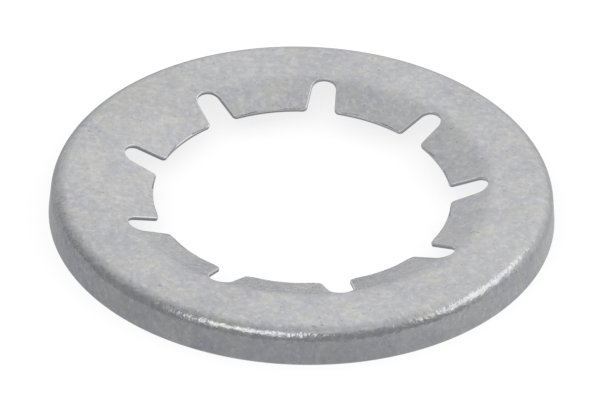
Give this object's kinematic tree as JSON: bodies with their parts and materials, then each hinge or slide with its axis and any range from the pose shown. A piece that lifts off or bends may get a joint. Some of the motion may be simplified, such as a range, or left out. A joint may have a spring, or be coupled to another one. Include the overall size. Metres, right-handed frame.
{
  "type": "push-on lock washer",
  "caption": "Shallow cupped spring-steel lock washer with inward sprung tongues between round-ended slots, which grip a plain round shaft when it is pushed on.",
  "frame": {"origin": "on the shaft's axis, in the plane of the rim's foot, which the washer lies on", "axes": "+Z along the shaft's axis, from the rim's foot to the flat ring; +Y through the middle of one slot"},
  "size_m": [0.0424, 0.0424, 0.0032],
  "materials": {
    "zinc_plated_steel": "zinc-plated sheet steel, dull and finely mottled"
  },
  "bodies": {
    "root": {"washer": "zinc_plated_steel"}
  },
  "joints": []
}
